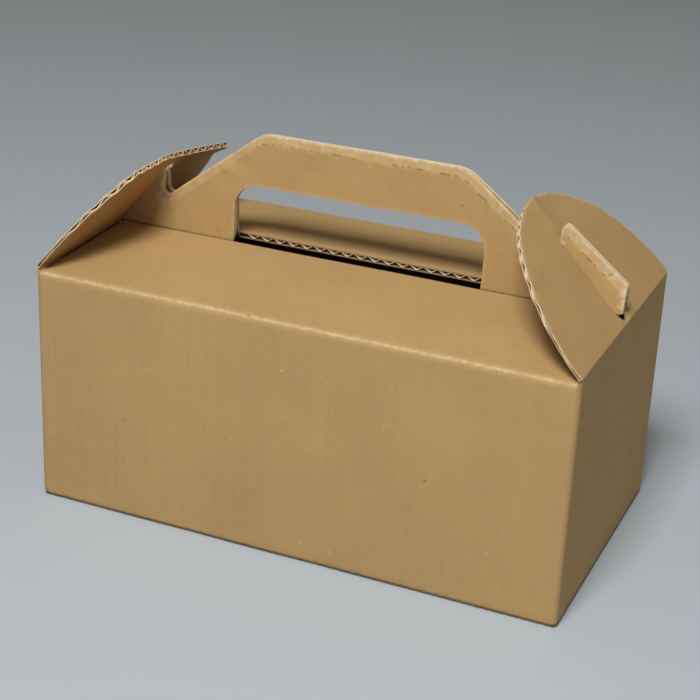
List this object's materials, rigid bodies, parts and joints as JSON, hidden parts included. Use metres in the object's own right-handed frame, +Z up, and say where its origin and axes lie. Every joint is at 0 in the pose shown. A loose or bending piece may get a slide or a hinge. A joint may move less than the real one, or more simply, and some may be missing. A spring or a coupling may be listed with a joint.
{
  "type": "gable box",
  "caption": "Kraft corrugated gable box with a fold-up carry handle whose hooked ears pass through slots in the rounded side flaps.",
  "frame": {"origin": "middle of the footprint, on the ground", "axes": "+X along the length of the box, +Y from the front wall to the back wall, +Z up"},
  "size_m": [0.24, 0.1336, 0.162],
  "materials": {
    "kraft_board": "uncoated brown kraft corrugated board with open flutes at its cut edges"
  },
  "bodies": {
    "box": {"folded_box": "kraft_board"},
    "left_flap": {"side_flap_left": "kraft_board"},
    "right_flap": {"side_flap_right": "kraft_board"}
  },
  "joints": [
    {"name": "right_flap_fold", "type": "hinge", "parent": "box", "child": "right_flap", "pos_m": [0.12, 0, 0.1079], "axis": [0, 1, 0], "range_deg": [0, 180]},
    {"name": "left_flap_fold", "type": "hinge", "parent": "box", "child": "left_flap", "pos_m": [-0.12, 0, 0.1079], "axis": [0, -1, 0], "range_deg": [0, 180]}
  ]
}
